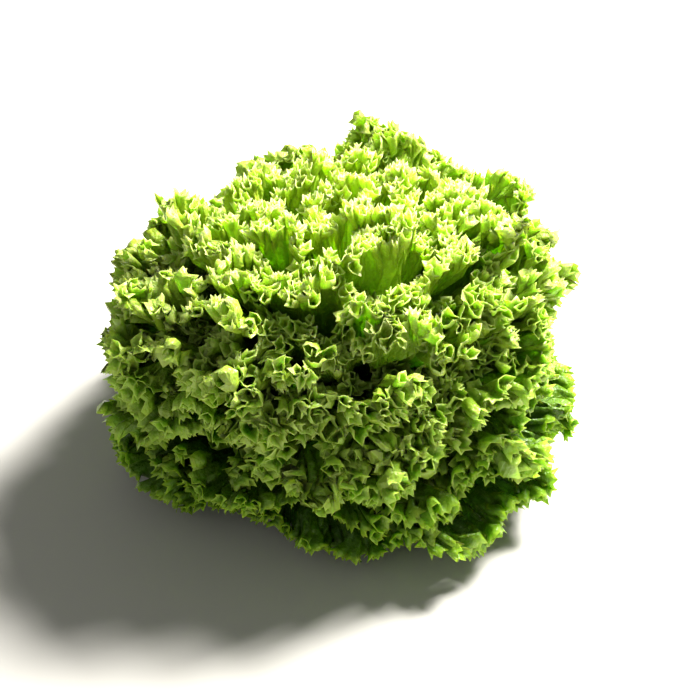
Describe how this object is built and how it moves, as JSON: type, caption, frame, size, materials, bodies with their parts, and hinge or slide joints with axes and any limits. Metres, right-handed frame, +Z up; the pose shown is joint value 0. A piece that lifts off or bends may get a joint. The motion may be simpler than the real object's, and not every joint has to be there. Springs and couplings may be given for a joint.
{
  "type": "loose-leaf lettuce head",
  "caption": "Lollo bionda lettuce head, cut from its root and standing on the cut: a short stem with frilled light green leaves in a loose dome.",
  "frame": {"origin": "centre of the stem's cut face, on which the head stands", "axes": "+Z up, along the stem; the front of the head faces -Y"},
  "size_m": [0.2827, 0.2665, 0.1911],
  "materials": {
    "leaf_green": "fresh leaf: thin, waxy, yellow-green, lets light through, pale edges and veins",
    "stem_cream": "firm pale stem, moist on the cut face, slightly browned round its rim"
  },
  "bodies": {
    "root": {"stem": "stem_cream", "leaf_01": "leaf_green", "leaf_02": "leaf_green", "leaf_03": "leaf_green", "leaf_04": "leaf_green", "leaf_05": "leaf_green", "leaf_06": "leaf_green", "leaf_07": "leaf_green", "leaf_08": "leaf_green", "leaf_09": "leaf_green", "leaf_10": "leaf_green", "leaf_11": "leaf_green", "leaf_12": "leaf_green", "leaf_13": "leaf_green", "leaf_14": "leaf_green", "leaf_15": "leaf_green", "leaf_16": "leaf_green", "leaf_17": "leaf_green", "leaf_18": "leaf_green", "leaf_19": "leaf_green", "leaf_20": "leaf_green", "leaf_21": "leaf_green", "leaf_22": "leaf_green", "leaf_23": "leaf_green", "leaf_24": "leaf_green", "leaf_25": "leaf_green", "leaf_26": "leaf_green", "leaf_27": "leaf_green", "leaf_28": "leaf_green", "leaf_29": "leaf_green", "leaf_30": "leaf_green", "leaf_31": "leaf_green", "leaf_32": "leaf_green", "leaf_33": "leaf_green", "leaf_34": "leaf_green", "leaf_35": "leaf_green", "leaf_36": "leaf_green", "leaf_37": "leaf_green", "leaf_38": "leaf_green", "leaf_39": "leaf_green", "leaf_40": "leaf_green", "leaf_41": "leaf_green", "leaf_42": "leaf_green", "leaf_43": "leaf_green", "leaf_44": "leaf_green", "leaf_45": "leaf_green", "leaf_46": "leaf_green", "leaf_47": "leaf_green", "leaf_48": "leaf_green", "leaf_49": "leaf_green", "leaf_50": "leaf_green", "leaf_51": "leaf_green", "leaf_52": "leaf_green", "leaf_53": "leaf_green", "leaf_54": "leaf_green", "leaf_55": "leaf_green", "leaf_56": "leaf_green", "leaf_57": "leaf_green", "leaf_58": "leaf_green"}
  },
  "joints": []
}
